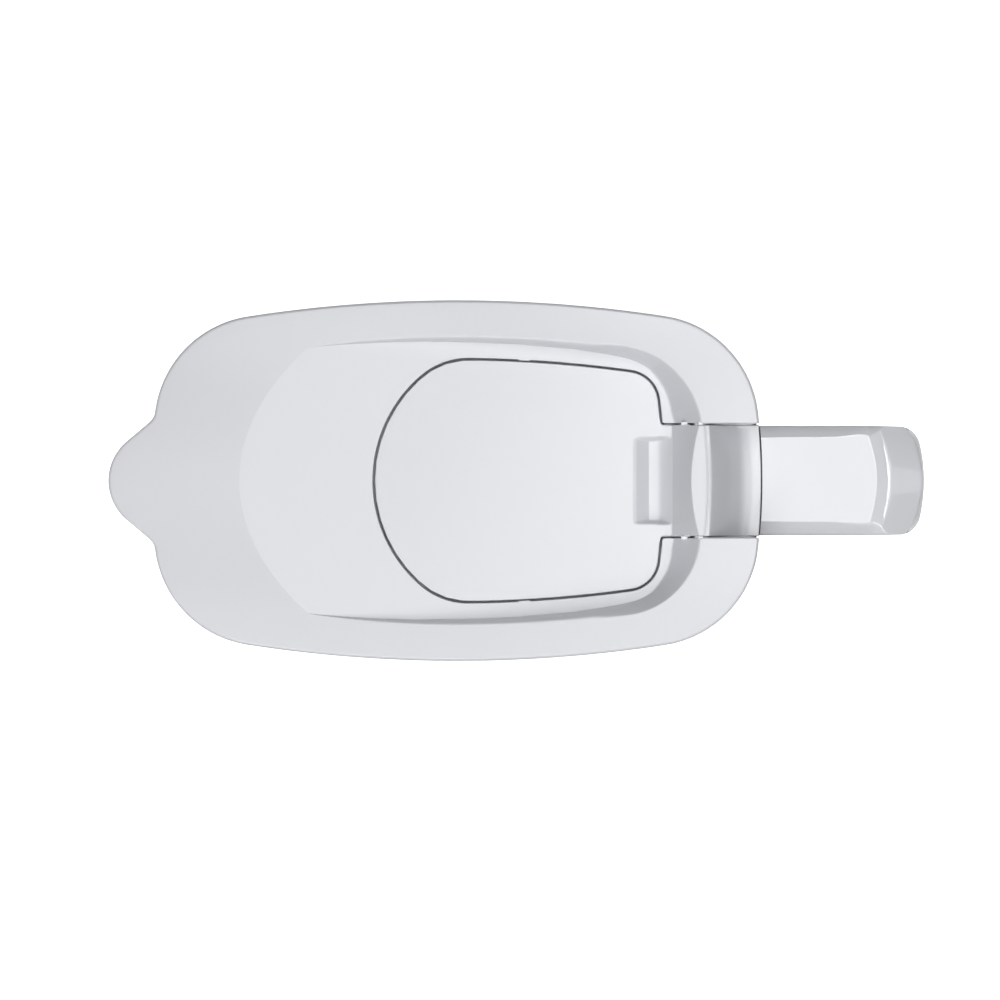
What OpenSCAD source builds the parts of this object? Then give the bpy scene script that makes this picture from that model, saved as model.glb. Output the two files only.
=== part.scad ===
// Household water filter jug: clear jug, D-handle, crowned lid with a
// push-to-open filling flap, hanging funnel and drop-in filter cartridge.
// +Z is up, the spout points to -X and the handle to +X. The origin is at
// the middle of the overall box, on the table. Millimetres.

/* [Overall] */
// Height from the table to the highest point of the lid
total_h = 262; // [258:1:266]
// Half the width of the lid
lid_half_w = 59.6; // [59:0.1:60.2]

/* [Jug] */
// Wall thickness of the clear jug
jug_wall = 2.6; // [2.4:0.1:2.8]
// How far the sides draw in from the rim to the foot
jug_taper = 9; // [7:0.5:10]
// Rounding between the side and the foot
foot_round = 12; // [10:1:13]

/* [Lid] */
// Wall thickness of the lid cover
lid_t = 2.4; // [2.2:0.1:2.6]
// Full width of the gap round the filling flap
flap_gap = 0.75; // [0.65:0.05:0.95]
// Half the width of the thumb lever, to the middle of its side gaps
neck_half = 18.6; // [18.2:0.1:18.8]

/* [Flap hinge] */
// Hinge pin diameter
pin_d = 5; // [4.6:0.1:5.2]
// Difference between the hinge bore and pin diameters
pin_play = 0.1; // [0.06:0.02:0.16]

/* [Cartridge] */
// Outer radius of the cartridge body
cart_r = 30.6; // [30.2:0.1:30.8]
// Wall thickness of the cartridge body
cart_wall = 1.6; // [1.4:0.1:1.8]

/* [Hidden] */

// ---- levels -------------------------------------------------------------
rim_z = total_h - 30;        // parting line between jug and lid
bead_z = rim_z - 5;          // ledge that carries the funnel
floor_z = rim_z - 109.2;     // funnel floor, top side
cart_x = -10;                // cartridge axis
hinge_x = 60;
hinge_z = total_h - 12;
tip_x = -134.9;              // spout tip
back_x = 134.9;              // back of the handle

// ---- plan outline: two ends, two flanks, four corners, all arcs ----------
O = [-20, 0];                // middle of the oval, all rays start here
SIDE_R = 454; END_R = 204; FRONT_R = 148; CORNER_R = 36.3;
S = [-19.8, lid_half_w - SIDE_R];
E = [81.1 - END_R, 0];
F = [-121.2 + FRONT_R, 0];
function unit(v) = v / norm(v);
function ang(v) = atan2(v[1], v[0]);
// centre of an arc that lies inside two others, upper one of the pair
function meet(P, a, Q, b) =
    let (d = norm(Q - P), t = (a*a - b*b + d*d) / (2*d), h = sqrt(a*a - t*t),
         u = unit(Q - P), p = P + u*t, v = [-u[1], u[0]])
    (p + v*h)[1] > (p - v*h)[1] ? p + v*h : p - v*h;
C = meet(S, SIDE_R - CORNER_R, E, END_R - CORNER_R);
D = meet(S, SIDE_R - CORNER_R, F, FRONT_R - CORNER_R);
// distance from O to an arc along direction a
function ray(a, c, r, o = O) =
    let (u = [cos(a), sin(a)], w = c - o, b = w*u) b + sqrt(max(0, r*r - w*w + b*b));
// oval without the spout, inset by d
function oval(a, d) =
    let (q = abs(a > 180 ? 360 - a : a),
         t1 = ang(E + (END_R - d)*unit(C - E) - O),
         t2 = ang(S + (SIDE_R - d)*unit(C - S) - O),
         t3 = ang(S + (SIDE_R - d)*unit(D - S) - O),
         t4 = ang(F + (FRONT_R - d)*unit(D - F) - O))
    q < t1 ? ray(q, E, END_R - d) :
    q < t2 ? ray(q, C, CORNER_R - d) :
    q < t3 ? ray(q, S, SIDE_R - d) :
    q < t4 ? ray(q, D, CORNER_R - d) : ray(q, F, FRONT_R - d);
// spout nose: round tip and two straight flanks at 40 degrees; k fades it out
TIP_R = 16.9;
function nose(a, d, k) =
    let (q = a > 180 ? 360 - a : a, c = [tip_x + TIP_R + 24*(1 - k), 0], r = TIP_R - d,
         n = [cos(130), sin(130)], at = ang(c + r*n - O), u = [cos(q), sin(q)])
    q < 155 ? 0 : q > at ? ray(q, c, r) : (r + (c - O)*n) / (u*n);
// larger of two radii with a small fillet where they cross
function smax(a, b, w) = abs(a - b) > w ? max(a, b) : (a + b)/2 + (a - b)*(a - b)/(4*w) + w/4;
function smin(a, b, w) = -smax(-a, -b, w);
function plan(a, d, k) = k <= 0 ? oval(a, d) : smax(oval(a, d), nose(a, d, k), 1.6);

// ray angles: even steps round the oval, close steps across the spout nose
HALF = concat([for (i = [0:30]) i*5], [for (i = [1:10]) 150 + i*3]);
ANGLES = concat(HALF, [for (i = [len(HALF) - 2:-1:1]) 360 - HALF[i]]);
FINE = concat([for (i = [0:49]) i*3], [for (i = [0:19]) 150 + i*1.5]);
FINE_ANGLES = concat(FINE, [180], [for (i = [len(FINE) - 1:-1:1]) 360 - FINE[i]]);
EVEN = [for (i = [0:71]) i*5];
function spot(a, r) = [O[0] + r*cos(a), O[1] + r*sin(a)];

module outline(d = 0, k = 1) polygon([for (a = FINE_ANGLES) spot(a, plan(a, d, k))]);
module prism(z0, z1, d = 0, k = 1) translate([0, 0, z0]) linear_extrude(z1 - z0) outline(d, k);

// ---- closed skin through a stack of equal rings, capped at both ends ------
module skin(rings) {
    n = len(rings[0]); m = len(rings);
    polyhedron(
        points = [for (r = rings) for (p = r) p],
        faces = concat(
            [[for (j = [0:n - 1]) j]],
            [for (i = [0:m - 2]) for (j = [0:n - 1])
                let (a = i*n + j, b = i*n + (j + 1) % n) [a, a + n, b + n]],
            [for (i = [0:m - 2]) for (j = [0:n - 1])
                let (a = i*n + j, b = i*n + (j + 1) % n) [a, b + n, b]],
            [[for (j = [n - 1:-1:0]) (m - 1)*n + j]]),
        convexity = 10);
}

// ---- clear jug -------------------------------------------------------------
foot_z = 2;
function drawn(z) = 0.6 + jug_taper*pow(1 - min(z, rim_z)/rim_z, 1.3);
function rounded(z, z0, r) = z - z0 >= r ? 0 : r - sqrt(max(0, r*r - pow(r - (z - z0), 2)));
function ease(t) = t <= 0 ? 0 : t >= 1 ? 1 : t*t*(3 - 2*t);
function spout_k(z) = ease((z - rim_z + 76)/72);
// share of the rim that belongs to the pouring lip
function lip(a) = ease((16 - abs(180 - a))/9);
function jug_ring(z, d, k, dip = 0) = [for (a = ANGLES)
    let (p = spot(a, plan(a, d, k))) [p[0], p[1], z - dip*lip(a)]];
function bead_ring(z, d0, d1, dip) = [for (a = ANGLES)
    let (w = lip(a), p = spot(a, plan(a, d1*(1 - w) + d0*w, 1))) [p[0], p[1], z - dip*w]];
JUG_OUT = [for (z = [foot_z, foot_z + 1, foot_z + 3.4, foot_z + 7, foot_z + foot_round,
                     40, 75, 110, 140, 158, 174, 187, 199, 210, 219])
    jug_ring(z, drawn(z) + rounded(z, foot_z, foot_round), spout_k(z))];
JUG_RIM = [jug_ring(rim_z - 5, drawn(rim_z - 5), 1, 4), jug_ring(rim_z, 0.6, 1, 7),
           jug_ring(rim_z, 0.6 + jug_wall, 1, 7), jug_ring(bead_z + 0.2, 0.6 + jug_wall, 1, 4.2),
           bead_ring(bead_z, 0.6 + jug_wall, 2.8 + jug_wall, 4.2),
           bead_ring(bead_z - 1.6, 0.7 + jug_wall, 2.8 + jug_wall, 3.5)];
JUG_IN = [for (z = [219, 210, 199, 187, 174, 158, 140, 110, 75, 40,
                    foot_z + foot_round, foot_z + 8.4, foot_z + 5, foot_z + 3.4])
    jug_ring(z, drawn(z) + jug_wall + rounded(z, foot_z + 3.4, foot_round - 2), spout_k(z))];

// tongues on the jug that the handle is slid over
module tongue(x0, x1, z0, z1, w = 8) translate([x0, -w, z0]) cube([x1 - x0, 2*w, z1 - z0]);
module upper_tongue(x0 = 78.9) tongue(x0, 88, rim_z - 8, rim_z - 1);
module lower_tongue(x0 = 72.4) tongue(x0, 86, 44, 56);

module jug_body() color([0.86, 0.90, 0.93, 0.45]) union() {
    skin(concat(JUG_OUT, JUG_RIM, JUG_IN));
    upper_tongue();
    lower_tongue();
}

module base_ring() color([0.55, 0.57, 0.60]) difference() {
    prism(0, foot_z, foot_round + jug_taper + 1.6, 0);
    prism(-1, foot_z + 1, foot_round + jug_taper + 7, 0);
}

// ---- handle: one bow, split into an outer cover and an inner grip ----------
top_z = total_h - 13.6;      // flat top of the handle, level with the end of the thumb pad
BOW_OUT = [[81.5, top_z - 0.2], [98, top_z], [115, top_z - 0.3], [126.5, top_z - 2.8], [133, top_z - 7], [back_x, top_z - 17],
           [134.4, 200], [131.6, 174], [126.6, 142], [119.8, 109], [111, 79], [100.5, 56], [88.5, 41], [74.6, 33]];
BOW_IN  = [[81.5, 203], [90.5, 212], [101, 221], [109, 224.8], [115, 222.8], [117.4, 214],
           [117.4, 196], [114.8, 171], [110, 141], [103.6, 111.5], [96.2, 87.6], [89.4, 75], [82.4, 68.4], [76, 66]];
BOW_W   = [18.1, 18.1, 18.1, 18.1, 18, 17.6, 16.6, 15.6, 14.8, 14.4, 14.4, 14.8, 15.4, 16];
function mid(a, b, c, d, t) = 0.5*((2*b) + (c - a)*t + (2*a - 5*b + 4*c - d)*t*t + (3*b - a - 3*c + d)*t*t*t);
function along(L, i, t) = let (n = len(L) - 1) mid(L[max(0, i - 1)], L[i], L[min(n, i + 1)], L[min(n, i + 2)], t);
BOW = concat([for (i = [0:len(BOW_OUT) - 2]) for (t = [0, 1/3, 2/3]) [along(BOW_OUT, i, t), along(BOW_IN, i, t), along(BOW_W, i, t)]],
             [[BOW_OUT[len(BOW_OUT) - 1], BOW_IN[len(BOW_IN) - 1], BOW_W[len(BOW_W) - 1]]]);
grip_t = 4.5;
function corner(x, y, r, a0, a1) = [for (i = [0:4]) let (a = a0 + (a1 - a0)*i/4) [x + r*cos(a), y + r*sin(a)]];
// section in (distance inward from the outer face, sideways)
function cover_sec(l, w) = concat([[l, w]], corner(4.6, w - 4.6, 4.6, 90, 180), corner(4.6, 4.6 - w, 4.6, 180, 270), [[l, -w]]);
function grip_sec(l0, l1, w) = concat([[l0, -w]], corner(l1 - 3.4, 3.4 - w, 3.4, -90, 0), corner(l1 - 3.4, w - 3.4, 3.4, 0, 90), [[l0, w]]);
function place(sec, b) = let (u = unit(b[1] - b[0])) [for (p = sec) [b[0][0] + u[0]*p[0], p[1], b[0][1] + u[1]*p[0]]];

module handle_cover() color([0.93, 0.93, 0.95]) difference() {
    skin([for (b = BOW) place(cover_sec(norm(b[1] - b[0]) - grip_t, b[2]), b)]);
    upper_tongue(70);
    lower_tongue(60);
}
module handle_grip() color([0.80, 0.81, 0.84])
    skin([for (b = BOW) let (l = norm(b[1] - b[0])) place(grip_sec(l - grip_t, l, b[2]), b)]);

// ---- lid surfaces -----------------------------------------------------------
LID_R = 900;       // long crown, highest over the thumb lever
LID_CROSS = 305;   // crown across the width
module lid_crown(off = 0) translate([80, 0, total_h - LID_R]) rotate([90, 0, 0])
    rotate([0, 0, 88]) rotate_extrude(angle = 16.5, $fn = 720) intersection() {
        translate([LID_R - LID_CROSS, 0]) circle(r = LID_CROSS + off, $fn = 720);
        translate([LID_R - 90, -75]) square([120, 150]);
    }
FLOOR_R = 2730;    // nearly level floor of the filling recess
module recess_floor(off = 0) translate([25, 0, total_h - 14 - FLOOR_R]) rotate([90, 0, 0])
    cylinder(r = FLOOR_R + off, h = 240, center = true, $fn = 1440);

// recess plan: round front, long flanks, round corners towards the handle
module recess_plan(g = 0) intersection() {
    translate([-38.8, 0]) circle(r = 54 + g, $fn = 180);
    translate([-19, 46.6 - 360]) circle(r = 360 + g, $fn = 720);
    translate([-19, 360 - 46.6]) circle(r = 360 + g, $fn = 720);
}
RC = meet([-19, 46.6 - 360], 360 - 20, [56.6 - 190, 0], 190 - 20);
module recess_full(g = 0) intersection() {
    union() {
        intersection() { translate([-38.8, 0]) circle(r = 54 + g, $fn = 180); translate([-100, -60]) square([80, 120]); }
        translate([-40, -60]) square([RC[0] + 40, 120]);
        translate([RC[0] - 1, -RC[1]]) square([60, 2*RC[1]]);
        for (s = [-1, 1]) translate([RC[0], s*RC[1]]) circle(r = 20 + g, $fn = 120);
    }
    translate([-19, 46.6 - 360]) circle(r = 360 + g, $fn = 720);
    translate([-19, 360 - 46.6]) circle(r = 360 + g, $fn = 720);
    translate([56.6 - 190, 0]) circle(r = 190 + g, $fn = 720);
}
module recess_space(g = 0, off = 0) difference() {
    translate([0, 0, total_h - 30]) linear_extrude(40) recess_full(g);
    recess_floor(off);
}

// flap plan, on the middle of its gap
FO = [-10, 0];
FS = [-19.8, 40.15 - 420]; FE = [48.8 - 216.6, 0]; FF = [-47 + 45.4, 0];
FC = meet(FS, 420 - 10.7, FE, 216.6 - 10.7);
FD = meet(FS, 420 - 23.7, FF, 45.4 - 23.7);
function flap_r(a, d) =
    let (q = a > 180 ? 360 - a : a,
         t1 = ang(FE + (216.6 - d)*unit(FC - FE) - FO), t2 = ang(FS + (420 - d)*unit(FC - FS) - FO),
         t3 = ang(FS + (420 - d)*unit(FD - FS) - FO), t4 = ang(FF + (45.4 - d)*unit(FD - FF) - FO))
    q < t1 ? ray(q, FE, 216.6 - d, FO) : q < t2 ? ray(q, FC, 10.7 - d, FO) :
    q < t3 ? ray(q, FS, 420 - d, FO) : q < t4 ? ray(q, FD, 23.7 - d, FO) : ray(q, FF, 45.4 - d, FO);
module flap_plan(d) polygon([for (a = [0:3:357]) [FO[0] + flap_r(a, d)*cos(a), flap_r(a, d)*sin(a)]]);
gap2 = flap_gap/2;

// ---- lid ---------------------------------------------------------------------
module lid_cover() color([0.87, 0.875, 0.89]) difference() {
    intersection() { prism(rim_z, total_h + 4); lid_crown(); }
    difference() {
        intersection() { prism(rim_z - 4, total_h + 2, lid_t); lid_crown(-lid_t); }
        recess_space(2.2, -2.2);
    }
    recess_space();
    translate([0, 0, rim_z]) linear_extrude(40) flap_plan(-gap2);
    translate([46, -neck_half - gap2, rim_z - 2]) cube([31.5, 2*(neck_half + gap2), 40]);
    translate([70, -neck_half - gap2, rim_z + 6]) cube([30, 2*(neck_half + gap2), 40]);
    // pouring mouth under the spout nose
    translate([tip_x - 5, -11, rim_z - 1]) cube([20, 22, 3]);
    hinge_axis(pin_d/2, 2*(neck_half + gap2 + cheek_t));
}

cheek_t = 2.6;
tub_r = 22.9;
module hinge_axis(r, h, fn = 96) translate([hinge_x, 0, hinge_z]) rotate([90, 0, 0]) cylinder(r = r, h = h, center = true, $fn = fn);
// hinge cheeks and the trough under the thumb lever, all above the jug rim
module lid_frame() color([0.80, 0.81, 0.83]) {
    yo = neck_half + gap2 + cheek_t;
    difference() {
        intersection() {
            prism(rim_z + 0.2, total_h + 2, lid_t + 3.2);
            lid_crown(-lid_t - 0.05);
            union() {
                translate([50, -yo, rim_z + 0.2]) cube([40, 2*yo, 30]);
                intersection() {
                    hinge_axis(tub_r + 1.8, 2*yo);
                    translate([hinge_x, -yo, rim_z - 12]) cube([40, 2*yo, 40]);
                }
            }
        }
        // space for the lever to swing
        difference() {
            translate([40, -neck_half - gap2, rim_z + 1.4]) cube([60, 2*(neck_half + gap2), 50]);
            difference() {
                translate([hinge_x, -50, rim_z - 20]) cube([40, 100, hinge_z - rim_z + 18]);
                hinge_axis(tub_r, 120);
            }
            translate([hinge_x - 1.8, -50, rim_z - 20]) cube([1.8, 100, 22]);
        }
        hinge_axis(pin_d/2, 120);
        recess_space(2.25, -2.25);
        translate([0, 0, rim_z - 20]) linear_extrude(60) flap_plan(-gap2 - 0.4);
    }
}

// skirt that drops inside the jug rim and centres the lid
module lid_skirt() color([0.80, 0.81, 0.83]) difference() {
    intersection() { prism(rim_z - 2, total_h, lid_t + 1.4); lid_crown(-lid_t - 0.05); }
    prism(rim_z - 3, total_h + 1, lid_t + 3.2);
    translate([tip_x - 5, -11, rim_z - 6]) cube([24, 22, 40]);
    translate([40, -neck_half - gap2, rim_z + 1.4]) cube([60, 2*(neck_half + gap2), 50]);
    recess_space(2.25, -2.25);
}

module flap_pivot_pins() color([0.62, 0.63, 0.66]) for (s = [-1, 1])
    translate([hinge_x, s*(neck_half - 7), hinge_z]) rotate([s > 0 ? -90 : 90, 0, 0])
        cylinder(d = pin_d, h = 7 + gap2 + cheek_t, $fn = 64);

// ---- flap ------------------------------------------------------------------
FLAP_R = 900;
flap_top_z = total_h - 12.8;     // crown of the flap plate
flap_low = total_h - 20.4;       // lower edge of its rim
module flap_crown(off = 0) translate([6, 0, flap_top_z - FLAP_R]) rotate([90, 0, 0])
    cylinder(r = FLAP_R + off, h = 240, center = true, $fn = 1440);
// lever profile, measured down from the top: slope up from the plate, flat crest, dished thumb pad
LEVER_TOP = [[49, -13.9], [51.6, -13.7], [53.4, -10.6], [57.2, -2.2], [58.8, -0.6], [61, -0.1], [63.2, -0.1], [64.3, -0.7],
             [65.3, -2], [68, -6.1], [70.5, -9.2], [73, -11.8], [74.8, -13], [76.6, -13.6], [78.4, -13.8], [80.6, -13.8]];
LEVER_LOW = [[80.6, -16.2], [76.4, -16], [73, -15], [70.2, -12.6], [66.4, -7.4], [63.4, -3.2], [61.6, -2.6], [59.8, -3.2], [58.4, -5],
             [54.6, -12.6], [52.6, -16], [49, -16.4]];
module lever_profile() translate([0, total_h]) polygon(concat(LEVER_TOP, LEVER_LOW));
module side_on(w) rotate([90, 0, 0]) translate([0, 0, -w]) linear_extrude(2*w) children();
lever_w = neck_half - gap2;
module flap_cover() color([0.90, 0.905, 0.92]) difference() {
    union() {
        // plate with its rim
        difference() {
            intersection() {
                translate([0, 0, flap_low]) linear_extrude(30) flap_plan(gap2);
                flap_crown();
            }
            intersection() {
                translate([0, 0, flap_low - 2]) linear_extrude(30) flap_plan(gap2 + 2);
                flap_crown(-2.2);
            }
            translate([38, -15, flap_low - 1]) cube([14, 30, 30]);
        }
        // finger hollow
        difference() {
            side_on(15.8) polygon([[37.6, flap_low + 0.4], [48, flap_low + 0.4], [53, flap_low + 3.4],
                                   [53, flap_top_z], [51.6, flap_top_z - 0.9], [37.6, flap_top_z - 1.4]]);
            side_on(13.8) polygon([[39.8, total_h], [39.8, flap_low + 2.4], [43.5, flap_low + 2.7], [47, flap_low + 3.6],
                                   [49.6, flap_low + 4.8], [52, flap_low + 6.8], [52, total_h]]);
        }
        // thumb lever
        side_on(lever_w) lever_profile();
        for (s = [-1, 1]) translate([0, s*(lever_w - 1.2), 0]) side_on(1.2)
            translate([0, total_h]) polygon([[48, -20.2], [48, -14.1], [52, -13.5], [57, -3], [61.6, -1], [63.4, -1.6], [68, -7.4],
                     [73, -13.2], [76.6, -14.6], [80, -14.8], [80, -16.4], [74, -18], [68, -18.6], [60, -19.4], [54, -20.2]]);
        // hinge bosses
        for (s = [-1, 1]) translate([hinge_x, s*(lever_w - 5.2), hinge_z]) rotate([90, 0, 0])
            cylinder(r = 4.6, h = 10.4, center = true, $fn = 64);
    }
    hinge_axis((pin_d + pin_play)/2, 120);
}

module flap_liner() color([0.84, 0.845, 0.86]) difference() {
    translate([0, 0, flap_low + 0.2]) linear_extrude(1.6) difference() {
        flap_plan(gap2 + 2);
        translate([36.8, -17]) square([20, 34]);
    }
}

// ---- funnel ------------------------------------------------------------------
function funnel_plan(a, d) = let (c = -cos(a), f = c > 0.2 ? (81 - d + 6.5)/c : 999) smin(oval(a, d), f, 10);
function funnel_ring(z, d) = [for (a = EVEN) let (p = spot(a, funnel_plan(a, d))) [p[0], p[1], z]];
fl = bead_z + 0.2;
module funnel() color([0.80, 0.82, 0.85, 0.9]) difference() {
    union() {
        skin([funnel_ring(floor_z - 2.2, 25), funnel_ring(floor_z - 0.6, 19.6), funnel_ring(floor_z + 5, 15.4),
              funnel_ring(floor_z + 14, 14), funnel_ring(floor_z + 50, 11), funnel_ring(fl - 12, 7.4), funnel_ring(fl, 7),
              funnel_ring(fl, 4), funnel_ring(fl + 2, 4), funnel_ring(fl + 2, 8.9), funnel_ring(fl - 12, 9.4),
              funnel_ring(floor_z + 50, 13.2), funnel_ring(floor_z + 14, 16.2), funnel_ring(floor_z + 6, 17.6),
              funnel_ring(floor_z + 1.4, 21.4), funnel_ring(floor_z, 24.6)]);
        translate([cart_x, 0, floor_z - 32]) cylinder(r = cart_r + 3.4, h = 31, $fn = 120);
    }
    translate([cart_x, 0, floor_z - 40]) cylinder(r = cart_r + 1, h = 60, $fn = 120);
}

// ---- cartridge -----------------------------------------------------------------
cz = floor_z + 0.2;      // underside of the cartridge flange
low = 34;                // lower end of the body
ri = cart_r - cart_wall;
module cart() translate([cart_x, 0, 0]) children();
module cartridge_body() color([0.93, 0.93, 0.94]) cart() rotate_extrude($fn = 128)
    polygon([[25, low], [cart_r, low], [cart_r, cz], [34.4, cz], [34.4, cz + 2.2], [ri, cz + 2.2], [ri, low + 1.6], [25, low + 1.6]]);
module cartridge_outlet() color([0.93, 0.93, 0.94]) cart() difference() {
    rotate_extrude($fn = 128) polygon([[0, 30], [27, 30], [cart_r - 1, 32], [cart_r - 1, low], [0, low]]);
    for (i = [0:11]) rotate([0, 0, i*30]) translate([18, 0, 28]) cylinder(r = 2, h = 8, $fn = 24);
    for (i = [0:5]) rotate([0, 0, i*60 + 15]) translate([9.5, 0, 28]) cylinder(r = 2, h = 8, $fn = 24);
}
module cartridge_seal() color([0.35, 0.37, 0.40]) cart() rotate_extrude($fn = 128)
    polygon([[cart_r, cz - 14], [cart_r + 0.6, cz - 13], [cart_r + 0.6, cz - 12], [cart_r, cz - 11]]);
module disc(z0, z1, r) cart() translate([0, 0, z0]) cylinder(r = r, h = z1 - z0, $fn = 128);
module cartridge_bottom_mesh() color([0.82, 0.83, 0.85]) disc(low + 1.6, low + 2.6, ri - 0.1);
module resin_bed() color([0.78, 0.62, 0.36]) disc(low + 2.6, 80, ri - 0.1);
module cartridge_middle_mesh() color([0.82, 0.83, 0.85]) disc(80, 81, ri - 0.1);
module carbon_bed() color([0.16, 0.16, 0.17]) disc(81, cz - 9, ri - 0.1);
module cartridge_top_mesh() color([0.82, 0.83, 0.85]) disc(cz - 9, cz - 8, ri - 0.1);
loop_z = cz + 8.4;
module cartridge_cap() color([0.95, 0.95, 0.96]) cart() difference() {
    union() {
        rotate_extrude($fn = 128) polygon([[0, cz + 2.6], [ri - 2, cz + 1.8], [ri - 2, cz - 8], [ri - 0.15, cz - 8], [ri - 0.15, cz + 2.2],
                                           [33.6, cz + 2.2], [33.6, cz + 3.2], [30, cz + 4.4], [0, cz + 4.8]]);
        for (s = [-1, 1]) translate([0, s*13.2, 0]) {
            translate([-3, -1.2, cz + 4]) cube([6, 2.4, 4.4]);
            translate([0, 0, loop_z]) rotate([90, 0, 0]) cylinder(r = 3, h = 2.4, center = true, $fn = 48);
        }
    }
    translate([0, 0, loop_z]) rotate([90, 0, 0]) cylinder(r = 1.35, h = 60, center = true, $fn = 48);
    for (i = [0:11]) rotate([0, 0, i*30 + 15]) translate([23, 0, cz - 2]) cylinder(r = 1.9, h = 12, $fn = 24);
    for (i = [0:5]) rotate([0, 0, i*60]) translate([18.4, 0, cz - 2]) cylinder(r = 1.6, h = 12, $fn = 24);
}
module cartridge_pull_loop() color([0.95, 0.95, 0.96]) cart() translate([0, 0, loop_z]) {
    difference() {
        union() {
            translate([0, -11.4, -1.3]) cube([7, 22.8, 2.6]);
            translate([7, 0, -1.3]) cylinder(r = 11.4, h = 2.6, $fn = 96);
            translate([-1.3, -11.4, -1.3]) cube([1.4, 22.8, 2.6]);
        }
        translate([7, 0, -3]) cylinder(r = 8, h = 6, $fn = 96);
        translate([1.4, -8, -3]) cube([5.6, 16, 6]);
        translate([-21.3, -20, -5]) cube([20, 40, 10]);
    }
    for (s = [-1, 1]) translate([0, s*11, 0]) rotate([s > 0 ? -90 : 90, 0, 0]) cylinder(r = 1.3, h = 3.2, $fn = 48);
}

jug_body();
base_ring();
handle_cover();
handle_grip();
lid_cover();
lid_frame();
lid_skirt();
flap_cover();
flap_liner();
flap_pivot_pins();
funnel();
cartridge_body();
cartridge_outlet();
cartridge_seal();
cartridge_bottom_mesh();
resin_bed();
cartridge_middle_mesh();
carbon_bed();
cartridge_top_mesh();
cartridge_cap();
cartridge_pull_loop();
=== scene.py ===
import bpy, bmesh, math
import numpy as np
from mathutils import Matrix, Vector


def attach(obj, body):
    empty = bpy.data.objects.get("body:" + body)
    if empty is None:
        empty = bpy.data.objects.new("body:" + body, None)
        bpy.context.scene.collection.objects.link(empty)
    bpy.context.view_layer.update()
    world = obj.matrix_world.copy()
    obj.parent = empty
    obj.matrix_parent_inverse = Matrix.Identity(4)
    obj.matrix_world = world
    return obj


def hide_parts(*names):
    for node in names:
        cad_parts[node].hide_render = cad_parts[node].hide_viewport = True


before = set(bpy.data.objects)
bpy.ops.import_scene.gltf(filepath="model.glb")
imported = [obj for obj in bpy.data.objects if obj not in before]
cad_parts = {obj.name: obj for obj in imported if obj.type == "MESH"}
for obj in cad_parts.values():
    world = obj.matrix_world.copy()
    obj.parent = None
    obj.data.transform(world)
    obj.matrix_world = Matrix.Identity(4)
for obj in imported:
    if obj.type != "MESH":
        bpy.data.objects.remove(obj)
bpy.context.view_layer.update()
MM = 0.001

# ---------------------------------------------------------------- small maths
def unit(v): return v / np.linalg.norm(v)
def meet(P, a, Q, b):
    P = np.array(P, float); Q = np.array(Q, float); d = np.linalg.norm(Q - P)
    t = (a*a - b*b + d*d) / (2*d); h = math.sqrt(a*a - t*t); u = unit(Q - P); p = P + u*t
    v = np.array([-u[1], u[0]]); A = p + v*h; B = p - v*h
    return A if A[1] > B[1] else B
def ray(th, c, R, o):
    u = np.array([np.cos(th), np.sin(th)]); w = np.array(c, float) - np.array(o, float)
    b = u[0]*w[0] + u[1]*w[1]
    return b + np.sqrt(np.maximum(0, R*R - w @ w + b*b))
def smax(a, b, k):
    k = np.maximum(k, 1e-6); d = np.abs(a - b)
    return np.where(d > k, np.maximum(a, b), (a + b)/2 + d*d/(4*k) + k/4)
def smin(a, b, k): return -smax(-a, -b, k)
def ease(t):
    t = np.clip(t, 0, 1); return t*t*(3 - 2*t)

class Chain:
    """Upper half of an outline of tangent arcs, each (centre, radius), listed from +X round to -X."""
    def __init__(self, arcs): self.arcs = [(np.array(c, float), float(r)) for c, r in arcs]
    def r(self, th, d, o):
        th = np.abs((np.asarray(th) + np.pi) % (2*np.pi) - np.pi); d = np.asarray(d, float) + 0*th
        out = ray(th, self.arcs[0][0], self.arcs[0][1] - d, o)
        for (c0, r0), (c1, r1) in zip(self.arcs, self.arcs[1:]):
            if r0 > r1: u = unit(c1 - c0); tx = c0[0] + (r0 - d)*u[0]; ty = c0[1] + (r0 - d)*u[1]
            else: u = unit(c0 - c1); tx = c1[0] + (r1 - d)*u[0]; ty = c1[1] + (r1 - d)*u[1]
            out = np.where(th < np.arctan2(ty - o[1], tx - o[0]), out, ray(th, c1, r1 - d, o))
        return out

# ---------------------------------------------------------------- levels and plan curves, in mm, as in the CAD
TOP, RIM_Z = 262.0, 232.0
HX, HZ = 60.0, 250.0
O = (-20.0, 0.0)
S_ = (-19.8, 59.6 - 454); E_ = (81.1 - 204, 0); F_ = (-121.2 + 148, 0)
C_ = meet(S_, 454 - 36.3, E_, 204 - 36.3); D_ = meet(S_, 454 - 36.3, F_, 148 - 36.3)
OVAL = Chain([(E_, 204), (C_, 36.3), (S_, 454), (D_, 36.3), (F_, 148)])
TIP_X, TIP_R = -134.9, 16.9
def nose(th, d, k, o):
    q = np.abs((th + np.pi) % (2*np.pi) - np.pi)
    c = np.array([0*q + TIP_X + TIP_R + 24*(1 - k), 0*q]); r = TIP_R - d
    n = (math.cos(math.radians(130)), math.sin(math.radians(130)))
    at = np.arctan2(r*n[1] - o[1], c[0] + r*n[0] - o[0])
    u = (np.cos(q), np.sin(q)); w = (c[0] - o[0], c[1] - o[1]); b = u[0]*w[0] + u[1]*w[1]
    circ = b + np.sqrt(np.maximum(0, r*r - (w[0]**2 + w[1]**2) + b*b))
    flank = (r + w[0]*n[0] + w[1]*n[1]) / np.where(np.abs(u[0]*n[0] + u[1]*n[1]) < 1e-3, 1e-3, u[0]*n[0] + u[1]*n[1])
    return np.where(q < math.radians(152), 0, np.where(q > at, circ, flank))
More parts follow.
